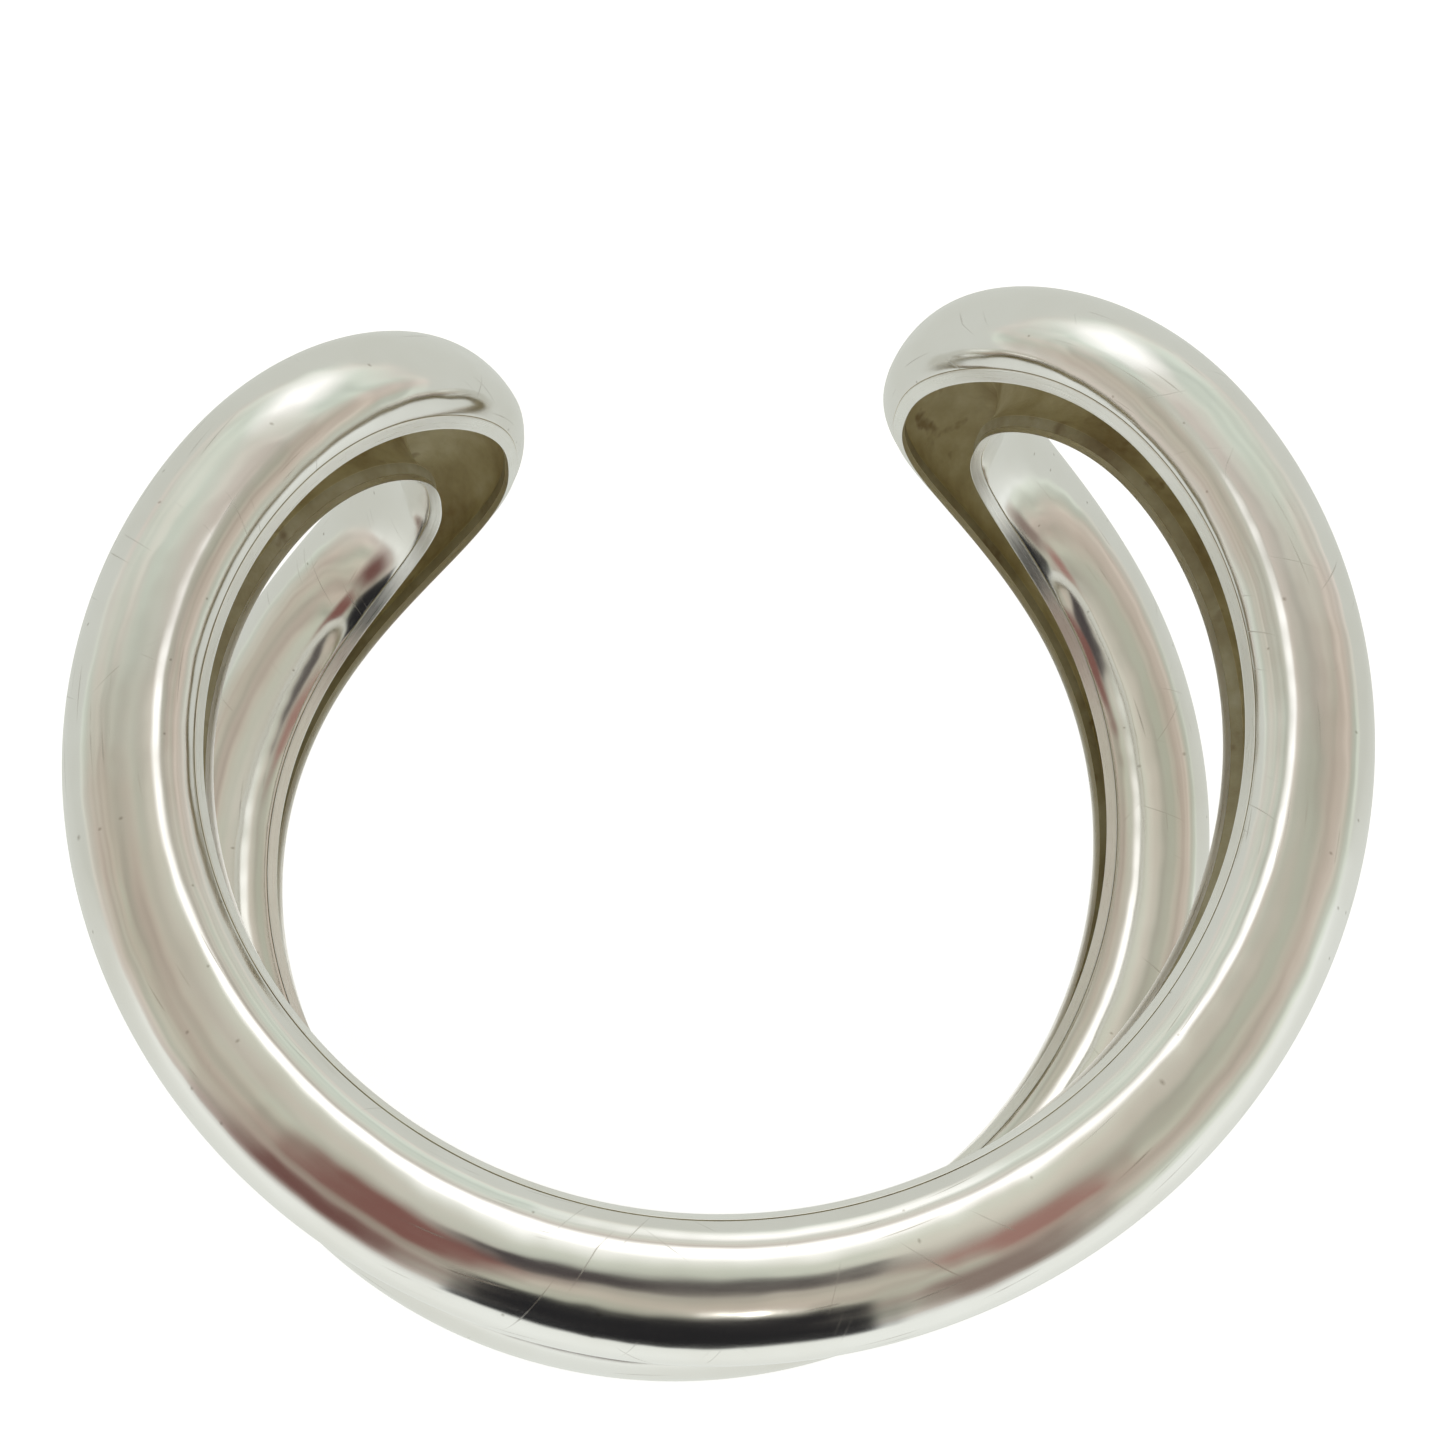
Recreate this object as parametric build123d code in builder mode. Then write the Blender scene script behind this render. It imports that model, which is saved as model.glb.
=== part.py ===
"""Open cuff bracelet: one long oval loop of hollow-backed tube, wrapped round the wrist.

The loop's two long sides are the rails, one above the other with an open slot between them,
and its two ends are the terminals that face each other across the wrist gap. The wrist axis
is +Z, the gap opens towards +Y, and the origin is under the middle of the cuff, at the height
of its lowest point. Lengths are in millimetres and angles in degrees.
"""

from build123d import *
from math import asin, copysign, cos, degrees, radians, sin
import os

# --- Driving dimensions -----------------------------------------------------------------

# The cuff seen along the wrist axis: the radius of the tube's centre line, how it swells
# (waves per turn, cosine share, sine share), and how far round each end reaches.
CUFF_RADIUS = 29.0
CUFF_SWELL = ((1, 0.30, 0.0), (2, -0.012, -0.043), (3, 0.002, 0.005))
CUFF_REACH = 136.0

# The same line away from the cuff's middle height: how much further out it is per millimetre
# of height, per millimetre squared, and per millimetre towards the right-hand end.
TAPER = 0.01
BULGE = 0.002
LEAN = -0.022

# The loop unrolled flat: half its height at the back of the cuff, how that height falls off
# towards the ends, and the reach and squareness of each rounded end.
HALF_HEIGHT = 22.5
HEIGHT_FALL = 0.41
HEIGHT_END_FALL = 0.11
END_REACH = 32.0
END_SQUARENESS = 2.5

# The tube's cross-section, measured from its centre line. Its back is deeper on the side next
# to the slot, and the whole section is a little larger at the ends than at the back.
TUBE_HALF_WIDTH = 4.1
FACE_DEPTH = 5.1
OUTER_BACK_DEPTH = 2.75
SLOT_BACK_DEPTH = 3.7
WIDTH_GROWTH = 0.02
DEPTH_GROWTH = 0.08
WALL = 0.9

# The channel along the back of the tube: how far its edges are from the tube's middle. Each
# edge carries a flat rim, which stands a little proud of the tube at the crease beside it.
OUTER_LIP = 1.8
SLOT_LIP = 3.0
OUTER_RIM_WIDTH = 0.8
SLOT_RIM_WIDTH = 0.5
RIM_THICKNESS = 0.5
RIM_STEP = 0.06

# Sections along each piece, and the step that gives the direction of the centre line.
RAIL_SECTIONS = 17
TERMINAL_SECTIONS = 17
DIRECTION_STEP = 0.001

# --- The loop's centre line -------------------------------------------------------------
# A station is a place along the loop: 0 to 1 is the upper rail from right to left, 1 to 2 the
# left terminal, 2 to 3 the lower rail from left to right, and 3 to 4 the right terminal.

UPPER_RAIL, LEFT_TERMINAL, LOWER_RAIL, RIGHT_TERMINAL = range(4)


def plan_point(angle):
    """Centre line seen along the wrist axis, angle in radians from the back of the cuff."""
    swell = sum(c * cos(n * angle) + s * sin(n * angle) for n, c, s in CUFF_SWELL)
    radius = CUFF_RADIUS * (1 + swell)
    return Vector(radius * sin(angle), -radius * cos(angle), 0)


def plan_outward(angle):
    """Level direction that points squarely away from the wrist."""
    round_wrist = plan_point(angle + DIRECTION_STEP) - plan_point(angle - DIRECTION_STEP)
    return round_wrist.cross(Vector(0, 0, 1)).normalized()


def round_end(share):
    """How far out and how far up a terminal's centre line is, share 0 to 1 from top to bottom."""
    turn = radians(90 - 180 * share)
    power = 2 / END_SQUARENESS
    return abs(cos(turn)) ** power, copysign(abs(sin(turn)) ** power, sin(turn))


def loop_place(station):
    """Share of the reach (positive to the right) and height of the centre line at a station."""
    stretch, share = divmod(station % 4, 1)
    root = 1 - END_REACH / CUFF_REACH
    if stretch == UPPER_RAIL:
        reached, side = root * (1 - 2 * share), 1
    elif stretch == LEFT_TERMINAL:
        out, side = round_end(share)
        reached = -root - (1 - root) * out
    elif stretch == LOWER_RAIL:
        reached, side = root * (2 * share - 1), -1
    else:
        out, side = round_end(1 - share)
        reached = root + (1 - root) * out
    height = HALF_HEIGHT * (1 - HEIGHT_FALL * reached**2 - HEIGHT_END_FALL * reached**4)
    return reached, side * height


def loop_point(station):
    """Point of the centre line, with the middle of the cuff at height zero."""
    reached, height = loop_place(station)
    angle = radians(CUFF_REACH * reached)
    shift = height * (TAPER + BULGE * height + LEAN * reached)
    return plan_point(angle) + plan_outward(angle) * shift + Vector(0, 0, height)


def loop_plane(station):
    """Plane square to the tube: its x points away from the wrist, its y away from the slot."""
    angle = radians(CUFF_REACH * loop_place(station)[0])
    along = loop_point(station + DIRECTION_STEP) - loop_point(station - DIRECTION_STEP)
    return Plane(origin=loop_point(station), x_dir=plan_outward(angle), z_dir=along)


# --- The tube's cross-section -----------------------------------------------------------
# Each half of the section is two quarter ellipses: side 1 is the half away from the slot,
# side -1 the half beside it.


def half_size(station, side, inset):
    """Face depth, back depth and half-width of one half of the tube, inset from its outside."""
    reached, _ = loop_place(station)
    depth_scale = 1 + DEPTH_GROWTH * reached**2
    width_scale = 1 + WIDTH_GROWTH * reached**2
    back_depth = OUTER_BACK_DEPTH if side > 0 else SLOT_BACK_DEPTH
    return (
        FACE_DEPTH * depth_scale - inset,
        back_depth * depth_scale - inset,
        TUBE_HALF_WIDTH * width_scale - inset,
    )


def back_angle(side, from_middle):
    """Ellipse angle, from the outward direction, of a line along the back of the tube."""
    return side * (180 - degrees(asin(from_middle / TUBE_HALF_WIDTH)))


def back_point(station, side, inset, from_middle):
    """Point of the back of the tube, or of the same line on the inside of its wall."""
    _, back_depth, half_width = half_size(station, side, inset)
    angle = radians(back_angle(side, from_middle))
    return back_depth * cos(angle), half_width * sin(angle)


def channel_edge(side):
    """Distances from the tube's middle of the channel's edge and of the crease beside its rim."""
    if side > 0:
        return OUTER_LIP, OUTER_LIP + OUTER_RIM_WIDTH
    return SLOT_LIP, SLOT_LIP + SLOT_RIM_WIDTH


def shell_section(station):
    """Hollow-backed section of the tube's wall at a station."""
    with BuildSketch(loop_plane(station)) as section:
        with BuildLine():
            for side in (1, -1):
                _, crease = channel_edge(side)
                start = back_angle(side, crease)
                for inset in (0, WALL):
                    face, back, width = half_size(station, side, inset)
                    EllipticalCenterArc((0, 0), back, width, start, arc_size=side * 90 - start)
                    EllipticalCenterArc((0, 0), face, width, side * 90, arc_size=-side * 90)
                Line(
                    back_point(station, side, 0, crease),
                    back_point(station, side, WALL, crease),
                )
        make_face()
    return section.sketch


def rim_section(station, side):
    """Section of the flat rim between the shell's edge and the mouth of the channel."""
    lip, crease = channel_edge(side)
    crease_x, crease_y = back_point(station, side, 0, crease)
    mouth_x, mouth_y = back_point(station, side, 0, lip)
    with BuildSketch(loop_plane(station)) as section:
        with BuildLine():
            Polyline(
                back_point(station, side, WALL, crease),
                (crease_x, crease_y),
                (crease_x - RIM_STEP, crease_y),
                (mouth_x - RIM_STEP, mouth_y),
                (mouth_x - RIM_STEP + RIM_THICKNESS, mouth_y),
                close=True,
            )
        make_face()
    return section.sketch


# --- Pieces -----------------------------------------------------------------------------


def shell_sections(stretch, count):
    """Sections of the tube's wall along one stretch of the loop, both ends included."""
    return [shell_section(stretch + step / (count - 1)) for step in range(count)]


def rim_sections(stretch, count, side):
    """Sections of one rim along one stretch of the loop, both ends included."""
    return [rim_section(stretch + step / (count - 1), side) for step in range(count)]


with BuildPart() as upper_rail_shell:
    loft(sections=shell_sections(UPPER_RAIL, RAIL_SECTIONS))

with BuildPart() as left_terminal_shell:
    loft(sections=shell_sections(LEFT_TERMINAL, TERMINAL_SECTIONS))

with BuildPart() as lower_rail_shell:
    loft(sections=shell_sections(LOWER_RAIL, RAIL_SECTIONS))

with BuildPart() as right_terminal_shell:
    loft(sections=shell_sections(RIGHT_TERMINAL, TERMINAL_SECTIONS))

with BuildPart() as outer_rim_strip:
    for rail, terminal in ((UPPER_RAIL, LEFT_TERMINAL), (LOWER_RAIL, RIGHT_TERMINAL)):
        loft(sections=rim_sections(rail, RAIL_SECTIONS, 1))
        loft(sections=rim_sections(terminal, TERMINAL_SECTIONS, 1))

with BuildPart() as slot_rim_strip:
    for rail, terminal in ((UPPER_RAIL, LEFT_TERMINAL), (LOWER_RAIL, RIGHT_TERMINAL)):
        loft(sections=rim_sections(rail, RAIL_SECTIONS, -1))
        loft(sections=rim_sections(terminal, TERMINAL_SECTIONS, -1))

pieces = {
    "upper_rail_shell": upper_rail_shell.part,
    "left_terminal_shell": left_terminal_shell.part,
    "lower_rail_shell": lower_rail_shell.part,
    "right_terminal_shell": right_terminal_shell.part,
    "outer_rim_strip": outer_rim_strip.part,
    "slot_rim_strip": slot_rim_strip.part,
}

# --- Place on the ground and write ------------------------------------------------------

cuff_box = Compound(list(pieces.values())).bounding_box()
ground = Vector(-cuff_box.center().X, -cuff_box.center().Y, -cuff_box.min.Z)

os.makedirs("parts", exist_ok=True)
for piece_name, piece in pieces.items():
    placed = piece.moved(Location(ground))
    placed.label = piece_name
    export_step(placed, f"parts/{piece_name}.step")
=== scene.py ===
import math

import bpy
import numpy as np
from mathutils import Matrix, Vector


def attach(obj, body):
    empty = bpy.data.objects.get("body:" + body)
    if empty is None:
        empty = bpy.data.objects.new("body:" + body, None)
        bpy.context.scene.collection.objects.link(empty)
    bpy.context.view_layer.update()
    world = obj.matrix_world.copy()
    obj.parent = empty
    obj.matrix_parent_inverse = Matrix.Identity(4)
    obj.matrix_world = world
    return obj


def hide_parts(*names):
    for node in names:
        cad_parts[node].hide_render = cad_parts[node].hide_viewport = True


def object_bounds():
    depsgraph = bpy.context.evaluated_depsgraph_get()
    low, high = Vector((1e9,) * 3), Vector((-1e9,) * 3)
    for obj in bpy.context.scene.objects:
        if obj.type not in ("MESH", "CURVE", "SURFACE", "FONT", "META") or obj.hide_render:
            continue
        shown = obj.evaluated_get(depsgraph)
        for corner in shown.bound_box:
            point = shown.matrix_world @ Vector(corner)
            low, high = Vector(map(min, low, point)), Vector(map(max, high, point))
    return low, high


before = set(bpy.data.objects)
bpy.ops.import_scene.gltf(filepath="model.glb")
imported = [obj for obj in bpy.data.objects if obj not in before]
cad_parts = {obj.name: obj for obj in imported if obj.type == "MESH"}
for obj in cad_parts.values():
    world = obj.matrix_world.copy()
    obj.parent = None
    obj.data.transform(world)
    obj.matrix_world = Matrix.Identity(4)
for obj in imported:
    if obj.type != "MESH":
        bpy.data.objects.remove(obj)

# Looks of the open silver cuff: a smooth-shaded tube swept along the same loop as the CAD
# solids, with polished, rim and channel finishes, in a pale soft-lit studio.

cad_low, cad_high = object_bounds()
MM = 0.001

# --- Driving dimensions of the cuff, in millimetres and degrees, as in the CAD -------------

CUFF_RADIUS = 29.0
CUFF_SWELL = ((1, 0.30, 0.0), (2, -0.012, -0.043), (3, 0.002, 0.005))
CUFF_REACH = 136.0
TAPER = 0.01
BULGE = 0.002
LEAN = -0.022
HALF_HEIGHT = 22.5
HEIGHT_FALL = 0.41
HEIGHT_END_FALL = 0.11
END_REACH = 32.0
END_SQUARENESS = 2.5

TUBE_HALF_WIDTH = 4.1
FACE_DEPTH = 5.1
OUTER_BACK_DEPTH = 2.75
SLOT_BACK_DEPTH = 3.7
WIDTH_GROWTH = 0.02
DEPTH_GROWTH = 0.08
WALL = 0.9

OUTER_LIP = 1.8
SLOT_LIP = 3.0
OUTER_RIM_WIDTH = 0.8
SLOT_RIM_WIDTH = 0.5
RIM_THICKNESS = 0.5
RIM_STEP = 0.06

# --- Fineness of the swept mesh, and the softness of its edges ------------------------------

STATION_SPACING = 0.35
FACE_POINTS = 72
INNER_POINTS = 40
EDGE_CHAMFER = 0.03
RIM_EDGE_SHARE = 0.15
RIM_LINE_PLACE = 0.45
RIM_LINE_WIDTH = 0.07
RIM_LINE_DEPTH = 0.004

# --- Camera ---------------------------------------------------------------------------------

CAMERA_BEARING = 19.31
CAMERA_DIP = 74.75
CAMERA_ROLL = 15.54
CAMERA_DISTANCE = 177.5
CAMERA_AIM = (1.3, 6.9, 0.0)
CAMERA_LENS = 70.3
CAMERA_SENSOR = 36.0
CAMERA_NEAR = 0.01

# --- Studio ---------------------------------------------------------------------------------

FLOOR_SIZE = 3.0
FLOOR_GLOW = 0.74
# Colours of the floor seen in the metal: the near one is darker, painted shade under the cuff and
# on the camera side.
FLOOR_NEAR_COLOUR = (0.66, 0.68, 0.63)
FLOOR_FAR_COLOUR = (0.93, 0.96, 0.92)
FLOOR_NEAR_PLACE = -0.03
FLOOR_FAR_PLACE = 0.10
TENT_COLOURS = [
    (0.0, (0.80, 0.82, 0.77)),
    (0.2, (0.67, 0.66, 0.59)),
    (0.5, (0.54, 0.525, 0.455)),
    (0.8, (0.55, 0.54, 0.47)),
    (1.0, (0.68, 0.68, 0.62)),
]
GAP_SIDE_COLOUR = (0.74, 0.775, 0.73)
# Name, place from the middle of the cuff in millimetres, direction faced, width and height in
# millimetres, colour, strength, and the share of each side that fades out.
CARDS = [
    ("window", (20, 430, 150), (0, -1, 0), 260, 270, (1.0, 1.0, 0.98), 1.3, 0.35),
    ("overhead", (2, 50, 195), (0, 0, -1), 100, 190, (1.0, 1.0, 0.98), 1.45, 0.25),
    ("camera_back", (-12, -95, 190), (0, 0.35, -0.94), 140, 52, (0.07, 0.06, 0.06), 1.0, 0.14),
    ("dark_figure", (-38, -250, 90), (0, 1, 0), 250, 220, (0.018, 0.018, 0.02), 1.0, 0.07),
    ("left_sleeve", (-235, -195, 90), (0.75, 0.65, 0), 240, 230, (0.17, 0.08, 0.07), 1.0, 0.34),
    ("right_sleeve", (150, -240, 100), (-0.5, 1, 0), 150, 250, (0.26, 0.20, 0.17), 1.0, 0.3),
    ("left_arm", (-115, -110, 170), (0.5, 0.4, -0.75), 130, 150, (0.22, 0.10, 0.085), 1.0, 0.26),
    ("right_arm", (110, -125, 175), (-0.5, 0.5, -0.7), 90, 130, (0.36, 0.20, 0.17), 1.0, 0.32),
    ("lamp", (5, -150, 130), (0, 0.75, -0.65), 16, 9, (1.0, 0.98, 0.92), 9.0, 0.3),
]

# --- The loop's centre line -----------------------------------------------------------------
# A station is a place along the loop: 0 to 1 is the upper rail from right to left, 1 to 2 the
# left terminal, 2 to 3 the lower rail from left to right, and 3 to 4 the right terminal.

TRIAL_STATIONS = 2001
STEP = 0.0001
END_STEP = 1e-8


def unit(vectors):
    """The same vectors, one unit long."""
    return vectors / np.linalg.norm(vectors, axis=-1, keepdims=True)


def plan_point(angle):
    """Centre line seen along the wrist axis, angle in radians from the back of the cuff."""
    swell = sum(c * np.cos(n * angle) + s * np.sin(n * angle) for n, c, s in CUFF_SWELL)
    radius = CUFF_RADIUS * (1 + swell)
    return np.stack([radius * np.sin(angle), -radius * np.cos(angle), 0 * angle], -1)


def plan_outward(angle):
    """Level direction that points squarely away from the wrist."""
    return unit(np.cross(plan_point(angle + STEP) - plan_point(angle - STEP), (0, 0, 1)))


def round_end(share):
    """How far out and how far up a terminal's centre line is, share 0 to 1 from top to bottom."""
    turn = np.radians(90 - 180 * share)
    power = 2 / END_SQUARENESS
    return np.abs(np.cos(turn)) ** power, np.copysign(np.abs(np.sin(turn)) ** power, np.sin(turn))


def loop_place(station):
    """Share of the reach (positive to the right) and height of the centre line at stations."""
    station = station % 4
    stretch = np.floor(station).astype(int)
    share = station - stretch
    root = 1 - END_REACH / CUFF_REACH
    left_out, left_side = round_end(share)
    right_out, right_side = round_end(1 - share)
    reached = np.choose(
        stretch,
        [
            root * (1 - 2 * share),
            -root - (1 - root) * left_out,
            root * (2 * share - 1),
            root + (1 - root) * right_out,
        ],
    )
    side = np.choose(stretch, [np.ones_like(share), left_side, -np.ones_like(share), right_side])
    fall = 1 - HEIGHT_FALL * reached**2 - HEIGHT_END_FALL * reached**4
    return reached, side * HALF_HEIGHT * fall


def loop_point(station):
    """Points of the centre line, with the middle of the cuff at height zero."""
    reached, height = loop_place(station)
    angle = np.radians(CUFF_REACH * reached)
    shift = height * (TAPER + BULGE * height + LEAN * reached)
    point = plan_point(angle) + plan_outward(angle) * shift[:, None]
    point[:, 2] += height
    return point


def even_stations(stretch):
    """Stations at even distances along one stretch of the loop, without its last one."""
    trial = stretch + np.linspace(0, 1 - END_STEP, TRIAL_STATIONS)
    legs = np.linalg.norm(np.diff(loop_point(trial), axis=0), axis=1)
    travelled = np.concatenate([[0], np.cumsum(legs)])
    count = round(travelled[-1] / STATION_SPACING)
    return np.interp(np.arange(count) / count * travelled[-1], travelled, trial)


# --- The tube's cross-section ---------------------------------------------------------------
# Points are (x away from the wrist, y away from the slot). Side 1 is the half of the section
# away from the slot, side -1 the half beside it.


def half_size(reached, side, inset):
    """Face depth, back depth and half-width of one half of the tube, inset from its outside."""
    depth_scale = 1 + DEPTH_GROWTH * reached**2
    width_scale = 1 + WIDTH_GROWTH * reached**2
    back_depth = OUTER_BACK_DEPTH if side > 0 else SLOT_BACK_DEPTH
    return (
        FACE_DEPTH * depth_scale - inset,
        back_depth * depth_scale - inset,
        TUBE_HALF_WIDTH * width_scale - inset,
    )


def channel_edge(side):
    """Distances from the tube's middle of the channel's edge and of the crease beside its rim."""
    if side > 0:
        return OUTER_LIP, OUTER_LIP + OUTER_RIM_WIDTH
    return SLOT_LIP, SLOT_LIP + SLOT_RIM_WIDTH


def tube_point(reached, angle, inset):
    """Point of the tube's surface at an angle in radians from the outward direction."""
    face, back, width = half_size(reached, math.sin(angle), inset)
    depth = face if math.cos(angle) > 0 else back
    return np.array([depth * math.cos(angle), width * math.sin(angle)])


def crease_angle(side):
    """Angle of the crease between the tube's surface and the rim."""
    return side * (math.pi - math.asin(channel_edge(side)[1] / TUBE_HALF_WIDTH))


def chamfered(runs):
    """Closed outline through runs of points, each corner between two runs cut off short."""
    outline = []
    for run in runs:
        first, last = run[0], run[-1]
        outline.append(first + EDGE_CHAMFER * unit(run[1] - first))
        outline.extend(run[1:-1])
        outline.append(last + EDGE_CHAMFER * unit(run[-2] - last))
    return np.array(outline)


def shell_outline(reached):
    """Outline of the tube's wall, and how many of its points are on the polished outside."""
    angles = np.linspace(crease_angle(1), crease_angle(-1), FACE_POINTS)
    outside = [tube_point(reached, angle, 0) for angle in angles]
    angles = np.linspace(crease_angle(-1), crease_angle(1), INNER_POINTS)
    inside = [tube_point(reached, angle, WALL) for angle in angles]
    slot_edge = [outside[-1], (outside[-1] + inside[0]) / 2, inside[0]]
    outer_edge = [inside[-1], (inside[-1] + outside[0]) / 2, outside[0]]
    return chamfered([outside, slot_edge, inside, outer_edge]), FACE_POINTS


def rim_outline(reached, side):
    """Outline of the flat rim, and how many of its points are on the bright faces."""
    lip, _ = channel_edge(side)
    crease = tube_point(reached, crease_angle(side), 0)
    root = tube_point(reached, crease_angle(side), WALL)
    lip_angle = side * (math.pi - math.asin(lip / TUBE_HALF_WIDTH))
    mouth = tube_point(reached, lip_angle, 0) - (RIM_STEP, 0)
    raised = crease - (RIM_STEP, 0)
    across = unit(mouth - raised)
    into = (across[1], -across[0]) if across[1] > 0 else (-across[1], across[0])
    line = raised + RIM_LINE_PLACE * (mouth - raised)
    face = [
        raised,
        raised + RIM_EDGE_SHARE * (mouth - raised),
        line - RIM_LINE_WIDTH * across,
        line - RIM_LINE_WIDTH / 2 * across,
        line + RIM_LINE_DEPTH * np.array(into),
        line + RIM_LINE_WIDTH / 2 * across,
        line + RIM_LINE_WIDTH * across,
        mouth - RIM_EDGE_SHARE * (mouth - raised),
        mouth,
    ]
    step = [crease, (crease + raised) / 2, raised]
    inner = mouth + (RIM_THICKNESS, 0)
    lip_wall = [mouth, (mouth + inner) / 2, inner]
    underside = [inner, (inner + root) / 2, root]
    seat = [root, (root + crease) / 2, crease]
    bright = len(step) + len(face) + len(lip_wall)
    return chamfered([step, face, lip_wall, underside, seat]), bright


# --- Swept pieces ---------------------------------------------------------------------------


def sweep(outline):
    """Points and unit normals of an outline swept right round the loop, and the stretch ends."""
    stretches = [even_stations(stretch) for stretch in range(4)]
    ends = np.cumsum([0] + [len(stretch) for stretch in stretches])
    station = np.concatenate(stretches)
    centre = loop_point(station)
    reached, _ = loop_place(station)
    along = unit(loop_point(station + STEP) - loop_point(station - STEP))
    outward = plan_outward(np.radians(CUFF_REACH * reached))
    outward = unit(outward - along * np.sum(outward * along, axis=1, keepdims=True))
    away = np.cross(along, outward)
    flat = np.array([outline(place) for place in reached])
    points = (
        centre[:, None]
        + flat[:, :, :1] * outward[:, None]
        + flat[:, :, 1:] * away[:, None]
    )
    round_tube = np.roll(points, -1, axis=1) - np.roll(points, 1, axis=1)
    round_loop = np.roll(points, -1, axis=0) - np.roll(points, 1, axis=0)
    normals = unit(np.cross(round_tube, round_loop))
    return points, normals, ends


def frame_shift():
    """From the loop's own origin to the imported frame: the two boxes share their middles."""
    points = sweep(lambda place: shell_outline(place)[0])[0].reshape(-1, 3)
    loop_middle = (points.min(axis=0) + points.max(axis=0)) / 2
    return np.array((cad_low + cad_high) / 2) / MM - loop_middle


def swept_piece(name, points, normals, first, last, bright):
    """Mesh of rows first to last of a swept outline, its first faces bright, the rest dull."""
    total, outline_size, _ = points.shape
    rows = [row % total for row in range(first, last + 1)]
    faces = []
    for row in range(len(rows) - 1):
        for column in range(outline_size):
            ahead = (column + 1) % outline_size
            faces.append(
                (
                    row * outline_size + column,
                    row * outline_size + ahead,
                    (row + 1) * outline_size + ahead,
                    (row + 1) * outline_size + column,
                )
            )
    vertices = (points[rows] + SHIFT) * MM
    mesh = bpy.data.meshes.new(name)
    mesh.from_pydata(vertices.reshape(-1, 3).tolist(), [], faces)
    mesh.update()
    mesh.shade_smooth()
    mesh.normals_split_custom_set_from_vertices(normals[rows].reshape(-1, 3).tolist())
    slots = [0 if column < bright - 1 else 1 for column in range(outline_size)]
    mesh.polygons.foreach_set("material_index", slots * (len(rows) - 1))
    unroll(mesh, rows, outline_size)
    piece = bpy.data.objects.new(name, mesh)
    bpy.context.scene.collection.objects.link(piece)
    return piece


def unroll(mesh, rows, outline_size):
    """UV map in units of millimetres: u along the loop, v round the outline."""
    layer = mesh.uv_layers.new(name="Unrolled")
    u = (rows[0] + np.arange(len(rows))) * STATION_SPACING
    v = np.arange(outline_size + 1) * (2 * math.pi * TUBE_HALF_WIDTH / outline_size)
    row, column = np.meshgrid(np.arange(len(rows) - 1), np.arange(outline_size), indexing="ij")
    corners = [(row, column), (row, column + 1), (row + 1, column + 1), (row + 1, column)]
    coordinates = np.stack([np.stack([u[r], v[c]], -1) for r, c in corners], axis=2)
    layer.data.foreach_set("uv", coordinates.reshape(-1))


# --- Node helpers ---------------------------------------------------------------------------


class Nodes:
    """Short way to add and join shader nodes."""

    def __init__(self, tree):
        self.tree = tree
        tree.nodes.clear()

    def add(self, kind, values=None, **settings):
        """New node of a kind, its settings set, its input values set or linked by name."""
        node = self.tree.nodes.new(kind)
        for key, value in settings.items():
            setattr(node, key, value)
        for key, value in (values or {}).items():
            socket = node.inputs[key]
            if isinstance(value, bpy.types.NodeSocket):
                self.tree.links.new(value, socket)
            else:
                socket.default_value = value
        return node

    def ramp(self, factor, stops):
        """Colour ramp over (place, colour) stops."""
        node = self.add("ShaderNodeValToRGB", {"Fac": factor})
        elements = node.color_ramp.elements
        while len(elements) < len(stops):
            elements.new(0.5)
        for element, (place, colour) in zip(elements, stops):
            element.position = place
            element.color = (*colour, 1)
        return node.outputs["Color"]

    def span(self, value, from_low, from_high, to_low, to_high):
        """Value mapped from one span to another, held inside it."""
        node = self.add(
            "ShaderNodeMapRange",
            {
                "Value": value,
                "From Min": from_low,
                "From Max": from_high,
                "To Min": to_low,
                "To Max": to_high,
            },
        )
        return node.outputs["Result"]

    def noise(self, vector, scale, detail=2.0, roughness=0.5):
        """Noise value between 0 and 1."""
        node = self.add(
            "ShaderNodeTexNoise",
            {"Vector": vector, "Scale": scale, "Detail": detail, "Roughness": roughness},
        )
        return node.outputs["Fac"]

    def stretch(self, vector, scale):
        """Vector scaled, for patterns drawn out one way."""
        node = self.add("ShaderNodeMapping", {"Vector": vector, "Scale": scale})
        return node.outputs["Vector"]

    def math(self, operation, first, second):
        """Two values joined by a math operation."""
        node = self.add("ShaderNodeMath", {0: first, 1: second}, operation=operation)
        return node.outputs["Value"]

    def largest(self, values):
        """The largest of several values."""
        most = values[0]
        for value in values[1:]:
            most = self.math("MAXIMUM", most, value)
        return most

    def mix(self, factor, first, second):
        """Two colours mixed."""
        node = self.add("ShaderNodeMix", data_type="RGBA")
        for key, value in ((0, factor), (6, first), (7, second)):
            if isinstance(value, bpy.types.NodeSocket):
                self.tree.links.new(value, node.inputs[key])
            else:
                node.inputs[key].default_value = value if key == 0 else (*value, 1)
        return node.outputs[2]

    def bump(self, height, strength, distance, normal=None):
        """Surface normal bumped by a height value, distance in metres."""
        values = {"Height": height, "Strength": strength, "Distance": distance}
        if normal is not None:
            values["Normal"] = normal
        return self.add("ShaderNodeBump", values).outputs["Normal"]

    def surface(self, **values):
        """Principled surface and the output it goes to."""
        named = {key.replace("_", " "): value for key, value in values.items()}
        if "Emission Color" in named:
            named["Emission Color"] = (*named["Emission Color"], 1)
        shader = self.add("ShaderNodeBsdfPrincipled", named)
        self.add("ShaderNodeOutputMaterial", {"Surface": shader.outputs["BSDF"]})


def new_material(name):
    """Empty node material and its node helper."""
    material = bpy.data.materials.new(name)
    material.use_nodes = True
    return material, Nodes(material.node_tree)


# --- Finishes -------------------------------------------------------------------------------

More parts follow.
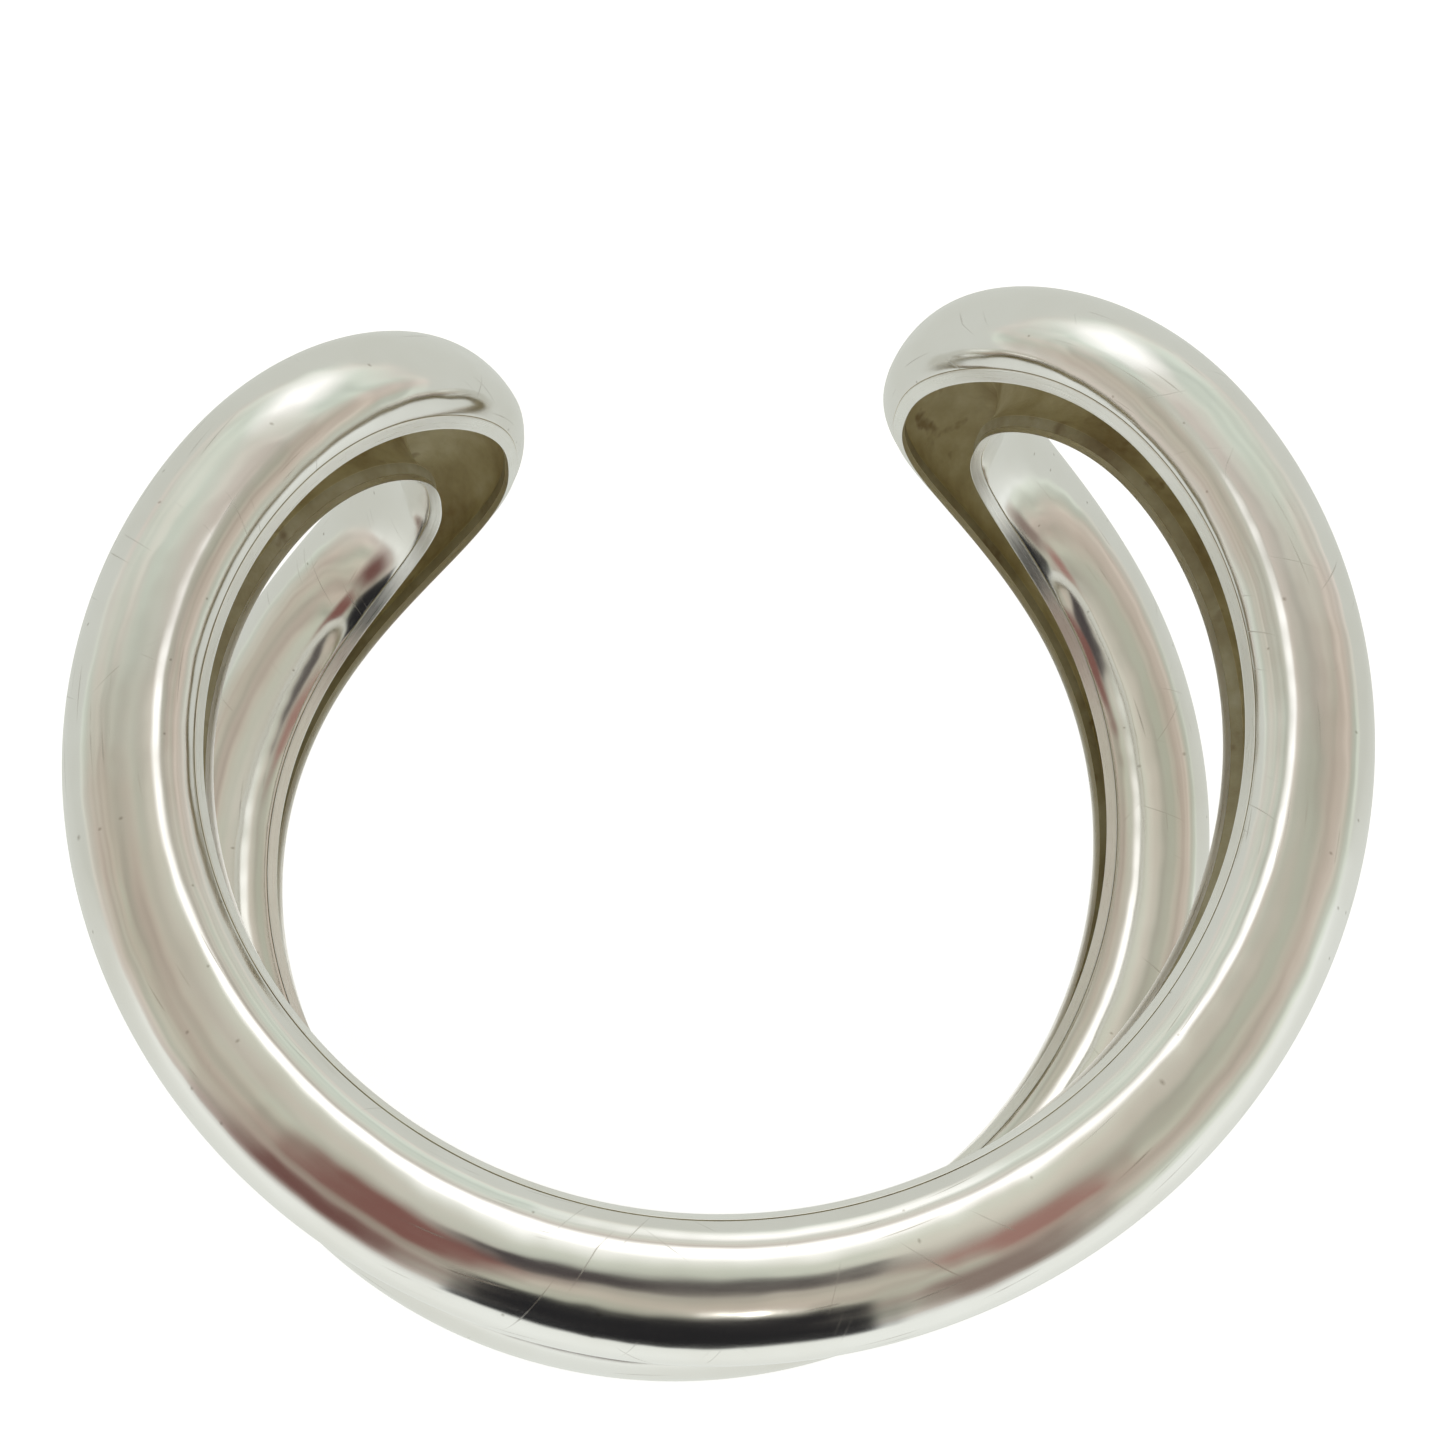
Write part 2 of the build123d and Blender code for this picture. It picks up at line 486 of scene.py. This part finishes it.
# How many times longer than wide a scratch is. Then each set of scratches: its turn in degrees from
# along the tube, spacing and half-width in millimetres, and the share of places that hold one.
SCRATCH_STRETCH = 40
SCRATCHES = [(3, 0.45, 0.05, 0.6), (62, 0.70, 0.05, 0.5), (-38, 0.90, 0.05, 0.5)]
# Each set of dings: spacing and radius in millimetres, and the share of places that hold one.
DINGS = [(2.2, 0.12, 0.16), (6.0, 0.17, 0.20)]


def dings(nodes, vector, spacing, radius, share):
    """Small round dents, 1 in the middle of a dent, in a share of the cells they could be in."""
    cells = nodes.add(
        "ShaderNodeTexVoronoi",
        {"Vector": vector, "Scale": 1 / spacing},
        voronoi_dimensions="2D",
    )
    dent = nodes.span(cells.outputs["Distance"], 0, radius / spacing, 1, 0)
    chosen = nodes.add("ShaderNodeSeparateColor", {"Color": cells.outputs["Color"]})
    return nodes.math("MULTIPLY", dent, nodes.math("LESS_THAN", chosen.outputs["Red"], share))


def scratches(nodes, vector, turn, spacing, radius, share):
    """Short straight scratches at an angle in degrees: dents drawn out along one direction."""
    drawn = nodes.add(
        "ShaderNodeMapping",
        {
            "Vector": vector,
            "Scale": (SCRATCH_STRETCH, 1, 1),
            "Rotation": (0, 0, math.radians(turn)),
        },
        vector_type="TEXTURE",
    )
    return dings(nodes, drawn.outputs["Vector"], spacing, radius, share)


def polished_silver():
    """Silver polished to a mirror, with hairline scratches, small dings and a warm bloom."""
    material, nodes = new_material("polished_silver")
    place = nodes.add("ShaderNodeTexCoord").outputs["Object"]
    unrolled = nodes.add("ShaderNodeUVMap", uv_map="Unrolled").outputs["UV"]
    bloom = nodes.noise(place, 60, detail=4, roughness=0.6)
    colour = nodes.ramp(bloom, [(0.35, (0.87, 0.86, 0.835)), (0.7, (0.80, 0.78, 0.735))])
    hairs = nodes.largest([scratches(nodes, unrolled, *scratch) for scratch in SCRATCHES])
    worn = nodes.span(nodes.noise(place, 260, detail=2), 0.48, 0.60, 0, 1)
    hairs = nodes.math("MULTIPLY", hairs, worn)
    dents = nodes.largest([dings(nodes, unrolled, *ding) for ding in DINGS])
    drift = nodes.noise(nodes.stretch(unrolled, (0.08, 1.4, 1)), 1.0, detail=4)
    roughness = nodes.span(drift, 0.3, 0.7, 0.09, 0.20)
    roughness = nodes.math("ADD", roughness, nodes.math("MULTIPLY", hairs, 0.25))
    marks = nodes.math("MAXIMUM", dents, nodes.math("MULTIPLY", hairs, 0.85))
    dull = nodes.mix(nodes.math("MULTIPLY", marks, 0.6), colour, (0.30, 0.27, 0.22))
    ripple = nodes.bump(nodes.noise(place, 130, detail=2), 0.5, 0.0004)
    scored = nodes.bump(hairs, -0.5, 0.00003, ripple)
    normal = nodes.bump(dents, -0.7, 0.00008, scored)
    nodes.surface(Base_Color=dull, Metallic=1.0, Roughness=roughness, Normal=normal)
    return material


def rim_silver():
    """Filed and buffed silver on the flat rims: brighter and softer than the polished face."""
    material, nodes = new_material("rim_silver")
    place = nodes.add("ShaderNodeTexCoord").outputs["Object"]
    unrolled = nodes.add("ShaderNodeUVMap", uv_map="Unrolled").outputs["UV"]
    bloom = nodes.noise(place, 150, detail=4, roughness=0.6)
    colour = nodes.ramp(bloom, [(0.35, (0.93, 0.925, 0.90)), (0.75, (0.85, 0.83, 0.78))])
    filed = nodes.noise(nodes.stretch(unrolled, (0.25, 3, 1)), 1.0, detail=2)
    roughness = nodes.span(filed, 0.3, 0.7, 0.26, 0.36)
    specks = dings(nodes, unrolled, 1.6, 0.10, 0.35)
    marked = nodes.mix(nodes.math("MULTIPLY", specks, 0.5), colour, (0.35, 0.30, 0.22))
    normal = nodes.bump(filed, 0.1, 0.00001)
    nodes.surface(Base_Color=marked, Metallic=1.0, Roughness=roughness, Normal=normal)
    return material


def tarnished_silver(name, shade):
    """Unpolished olive-brown silver, mottled and slightly grainy, its colour darkened to a share:
    painted shade where that share is below 1.
    """
    material, nodes = new_material(name)
    place = nodes.add("ShaderNodeTexCoord").outputs["Object"]
    cloud = nodes.noise(place, 130, detail=5, roughness=0.62)
    colour = nodes.ramp(
        cloud,
        [
            (0.28, (0.34, 0.26, 0.13)),
            (0.48, (0.56, 0.50, 0.31)),
            (0.70, (0.80, 0.76, 0.58)),
        ],
    )
    stains = nodes.span(nodes.noise(place, 420, detail=3), 0.62, 0.72, 0, 0.7)
    stained = nodes.mix(stains, colour, (0.24, 0.15, 0.06))
    # Painted shade: the colour is darkened towards black by the share given as shade.
    shaded = nodes.mix(shade, (0.0, 0.0, 0.0), stained)
    roughness = nodes.span(cloud, 0.3, 0.7, 0.6, 0.42)
    grain = nodes.noise(place, 2600, detail=2)
    pits = nodes.bump(grain, 0.5, 0.00006)
    normal = nodes.bump(cloud, 0.4, 0.0003, pits)
    nodes.surface(Base_Color=shaded, Metallic=0.2, Roughness=roughness, Normal=normal)
    return material


# --- Build the cuff -------------------------------------------------------------------------


def build_cuff():
    """Swept pieces in place of the CAD solids, each with its finishes."""
    face, rim = polished_silver(), rim_silver()
    channel = tarnished_silver("tarnished_channel", 1.0)
    # The rim's underside and seat: the tarnished finish darkened to 0.6, painted shade for the
    # shadow under the rim.
    rim_back = tarnished_silver("tarnish_with_painted_shade_rim_back", 0.6)
    _, bright = shell_outline(0)
    points, normals, ends = sweep(lambda place: shell_outline(place)[0])
    names = ("upper_rail", "left_terminal", "lower_rail", "right_terminal")
    for name, first, last in zip(names, ends, ends[1:]):
        piece = swept_piece(name + "_polished", points, normals, first, last, bright)
        dress(piece, name + "_shell", face, channel)
    for side, name in ((1, "outer_rim"), (-1, "slot_rim")):
        _, bright = rim_outline(0, side)
        points, normals, _ = sweep(lambda place: rim_outline(place, side)[0])
        piece = swept_piece(name + "_bright", points, normals, 0, len(points), bright)
        dress(piece, name + "_strip", rim, rim_back)


def dress(piece, node, outside, inside):
    """Gives a piece its two finishes and lets it stand for a CAD node."""
    piece.data.materials.append(outside)
    piece.data.materials.append(inside)
    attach(piece, "root")
    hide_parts(node)


# --- Studio ---------------------------------------------------------------------------------


def toward(bearing, rise):
    """Unit vector towards a compass bearing from +Y and a height above the horizon, in degrees."""
    bearing, rise = math.radians(bearing), math.radians(rise)
    level = math.cos(rise)
    return Vector((math.sin(bearing) * level, math.cos(bearing) * level, math.sin(rise)))


def panel(name, place, facing, width, height):
    """Flat rectangle at a place, facing along a direction, with its top edge level."""
    mesh = bpy.data.meshes.new(name)
    w, h = width / 2, height / 2
    mesh.from_pydata([(-w, -h, 0), (w, -h, 0), (w, h, 0), (-w, h, 0)], [], [(0, 1, 2, 3)])
    sheet = bpy.data.objects.new(name, mesh)
    sheet.location = place
    sheet.rotation_euler = facing.to_track_quat("Z", "Y").to_euler()
    bpy.context.scene.collection.objects.link(sheet)
    return sheet


def add_floor():
    """Pale floor under the cuff, and the softer grey that the metal sees in its place, painted
    darker under the cuff and towards the camera side as shade.
    """
    ground = Vector((CENTRE.x, CENTRE.y, cad_low.z))
    floor = panel("floor", ground, Vector((0, 0, 1)), FLOOR_SIZE, FLOOR_SIZE)
    material, nodes = new_material("pale_floor")
    place = nodes.add("ShaderNodeTexCoord").outputs["Object"]
    colour = nodes.ramp(nodes.noise(place, 30, detail=3), [(0, (0.60,) * 3), (1, (0.63,) * 3)])
    nodes.surface(
        Base_Color=colour,
        Roughness=0.9,
        Emission_Color=(1.0, 1.0, 1.0),
        Emission_Strength=FLOOR_GLOW,
    )
    floor.data.materials.append(material)
    floor.visible_glossy = False

    seen = panel("floor_seen_in_metal", ground, Vector((0, 0, 1)), FLOOR_SIZE, FLOOR_SIZE)
    material, nodes = new_material("floor_seen_in_metal")
    place = nodes.add("ShaderNodeTexCoord").outputs["Object"]
    ahead = nodes.add("ShaderNodeSeparateXYZ", {"Vector": place}).outputs["Y"]
    # Painted shade: the floor seen in the metal runs from FLOOR_NEAR_COLOUR under the cuff and on
    # the camera side to FLOOR_FAR_COLOUR beyond it.
    share = nodes.span(ahead, FLOOR_NEAR_PLACE, FLOOR_FAR_PLACE, 0, 1)
    colour = nodes.mix(share, FLOOR_NEAR_COLOUR, FLOOR_FAR_COLOUR)
    glow = nodes.add("ShaderNodeEmission", {"Color": colour, "Strength": 1.0})
    nodes.add("ShaderNodeOutputMaterial", {"Surface": glow.outputs["Emission"]})
    seen.data.materials.append(material)
    seen.visible_camera = False
    seen.visible_diffuse = False
    seen.visible_shadow = False


def add_card(name, place, facing, width, height, colour, strength, soft):
    """Card seen in the cuff's reflections, faded at its edges; a bright one lights it as well."""
    place = CENTRE + Vector(place) * MM
    card = panel(name, place, Vector(facing), width * MM, height * MM)
    material, nodes = new_material(name)
    across = nodes.add("ShaderNodeTexCoord").outputs["Generated"]
    parts = nodes.add("ShaderNodeSeparateXYZ", {"Vector": across}).outputs
    fades = []
    for axis in ("X", "Y"):
        from_edge = nodes.math("PINGPONG", parts[axis], 0.5)
        fades.append(nodes.span(from_edge, 0, soft, 0, 1))
    cover = nodes.math("MULTIPLY", *fades)
    glow = nodes.add("ShaderNodeEmission", {"Color": (*colour, 1), "Strength": strength})
    clear = nodes.add("ShaderNodeBsdfTransparent")
    mixed = nodes.add(
        "ShaderNodeMixShader",
        {0: cover, 1: clear.outputs["BSDF"], 2: glow.outputs["Emission"]},
    )
    nodes.add("ShaderNodeOutputMaterial", {"Surface": mixed.outputs["Shader"]})
    card.data.materials.append(material)
    card.visible_camera = False
    card.visible_shadow = False
    card.visible_diffuse = strength > 1


def add_sky():
    """Soft tent of light: pale at the horizon, beige above it, with slow warm and cool drifts."""
    world = bpy.data.worlds.new("tent")
    world.use_nodes = True
    bpy.context.scene.world = world
    nodes = Nodes(world.node_tree)
    direction = nodes.add("ShaderNodeTexCoord").outputs["Generated"]
    parts = nodes.add("ShaderNodeSeparateXYZ", {"Vector": direction}).outputs
    gap_side = nodes.span(parts["Y"], 0.35, 0.85, 0, 1)
    above = nodes.ramp(parts["Z"], TENT_COLOURS)
    tent = nodes.mix(gap_side, above, GAP_SIDE_COLOUR)
    drift = nodes.noise(nodes.stretch(direction, (1.6, 1.6, 3.5)), 1.0, detail=2)
    tint = nodes.ramp(drift, [(0.38, (1.05, 0.94, 0.92)), (0.62, (0.96, 1.01, 0.96))])
    tinted = nodes.add("ShaderNodeVectorMath", {0: tent, 1: tint}, operation="MULTIPLY")
    folds = nodes.noise(nodes.stretch(direction, (1.3, 1.3, 9.0)), 1.0, detail=3)
    strength = nodes.span(folds, 0.35, 0.65, 0.76, 1.10)
    colour = tinted.outputs["Vector"]
    background = nodes.add("ShaderNodeBackground", {"Color": colour, "Strength": strength})
    nodes.add("ShaderNodeOutputWorld", {"Surface": background.outputs["Background"]})


def add_camera():
    """Camera at the viewing angle, aimed near the middle of the cuff."""
    look = -toward(CAMERA_BEARING + 180, CAMERA_DIP)
    roll = math.radians(CAMERA_ROLL)
    level = toward(CAMERA_BEARING + 90, 0)
    upright = level.cross(look)
    right = math.cos(roll) * level + math.sin(roll) * upright
    up = -math.sin(roll) * level + math.cos(roll) * upright
    data = bpy.data.cameras.new("camera")
    data.sensor_width = CAMERA_SENSOR
    data.lens = CAMERA_LENS
    data.clip_start = CAMERA_NEAR
    camera = bpy.data.objects.new("camera", data)
    turn = Matrix((right, up, -look)).transposed().to_4x4()
    place = CENTRE + Vector(CAMERA_AIM) * MM - look * CAMERA_DISTANCE * MM
    camera.matrix_world = Matrix.Translation(place) @ turn
    bpy.context.scene.collection.objects.link(camera)
    bpy.context.scene.camera = camera


CENTRE = (cad_low + cad_high) / 2
SHIFT = frame_shift()
build_cuff()
add_floor()
add_sky()
for card in CARDS:
    add_card(*card)
add_camera()
bpy.context.scene.view_settings.view_transform = "Standard"
